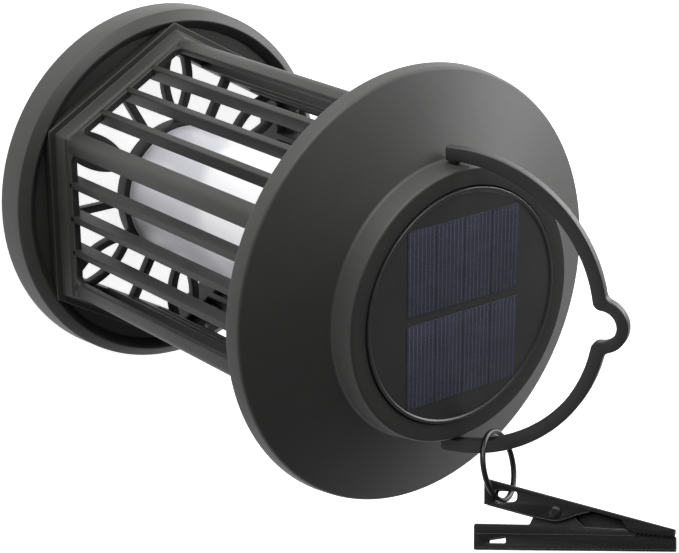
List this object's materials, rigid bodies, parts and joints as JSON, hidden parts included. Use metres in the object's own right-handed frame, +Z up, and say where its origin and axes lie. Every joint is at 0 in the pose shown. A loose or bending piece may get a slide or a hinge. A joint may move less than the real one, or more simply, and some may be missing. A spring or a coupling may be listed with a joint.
{
  "type": "electric bug zapper",
  "caption": "Solar insect lamp with an open hexagonal cage, white tube, round lid with solar panel, bail, ring and spring clip.",
  "frame": {"origin": "centre of the base underside, on the floor", "axes": "+Z up along the lamp axis to the lid, +X along the bail pivot axis, -Y the panel nearest the viewer"},
  "size_m": [0.1357, 0.1318, 0.2168],
  "materials": {
    "shell": "fine matte grain",
    "white_tube": "frosted white, translucent",
    "seal": "soft matte",
    "tray": "satin black",
    "panel_back": "clear-coated dark board",
    "cells": "dark blue-violet silicon under resin",
    "board": "green solder mask",
    "chips": "black moulded parts",
    "battery_wrap": "shrink sleeve",
    "inner_black": "matte",
    "spring_steel": "bright",
    "core_metal": "extruded",
    "strip": "white solder mask",
    "leds": "clear resin",
    "button": "matte",
    "pin_steel": "turned",
    "black_steel": "black coated steel",
    "screw_steel": "zinc plated"
  },
  "bodies": {
    "lamp": {"base_dish": "shell", "floor_grille": "shell", "cage_foot": "shell", "cage_posts": "shell", "cage_bars": "shell", "cage_head": "shell", "diffuser_tube": "white_tube", "tube_seal": "seal", "lid_tray": "shell", "lid_roof": "shell", "solar_tray": "tray", "panel_seal": "seal", "solar_laminate": "panel_back", "solar_cells": "cells", "circuit_board": "board", "board_parts": "chips", "battery": "battery_wrap", "battery_holder": "inner_black", "battery_contacts": "spring_steel", "lamp_core": "core_metal", "led_strips": "strip", "uv_leds": "leds", "switch_housing": "inner_black", "button_spring": "spring_steel", "bail_pins": "pin_steel", "tray_screws": "screw_steel", "base_screws": "screw_steel", "cage_screws": "screw_steel"},
    "bail": {"bail_handle": "shell"},
    "ring": {"clip_ring": "black_steel"},
    "lever": {"clip_lever": "black_steel", "clip_spring": "spring_steel"},
    "jaw": {"clip_jaw": "black_steel", "clip_rivet": "black_steel"},
    "button": {"power_button": "button"}
  },
  "joints": [
    {"name": "bail_swing", "type": "hinge", "parent": "lamp", "child": "bail", "pos_m": [0, 0, 0.152], "axis": [1, 0, 0], "range_deg": [-22, 70]},
    {"name": "ring_swing", "type": "hinge", "parent": "bail", "child": "ring", "pos_m": [0.04179, 0.00653, 0.16482], "axis": [-0.3256, 0.4293, 0.8425], "range_deg": [-20, 30]},
    {"name": "clip_swing", "type": "hinge", "parent": "ring", "child": "lever", "pos_m": [0.05555, 0.00194, 0.17248], "axis": [-0.4366, -0.8586, 0.2687], "range_deg": [-20, 20]},
    {"name": "clip_open", "type": "hinge", "parent": "lever", "child": "jaw", "pos_m": [0.05708, 0.011, 0.18577], "axis": [0.4882, 0.6937, -0.5296], "range_deg": [0, 18], "stiffness_Nm_per_rad": 0.05, "springref_deg": -20.05, "deforming": ["clip_spring"]},
    {"name": "power_press", "type": "slide", "parent": "lamp", "child": "button", "axis": [0, 0, 1], "range_m": [0, 0.0012], "stiffness_N_per_m": 800, "springref_m": -0.001, "deforming": ["button_spring"]}
  ]
}
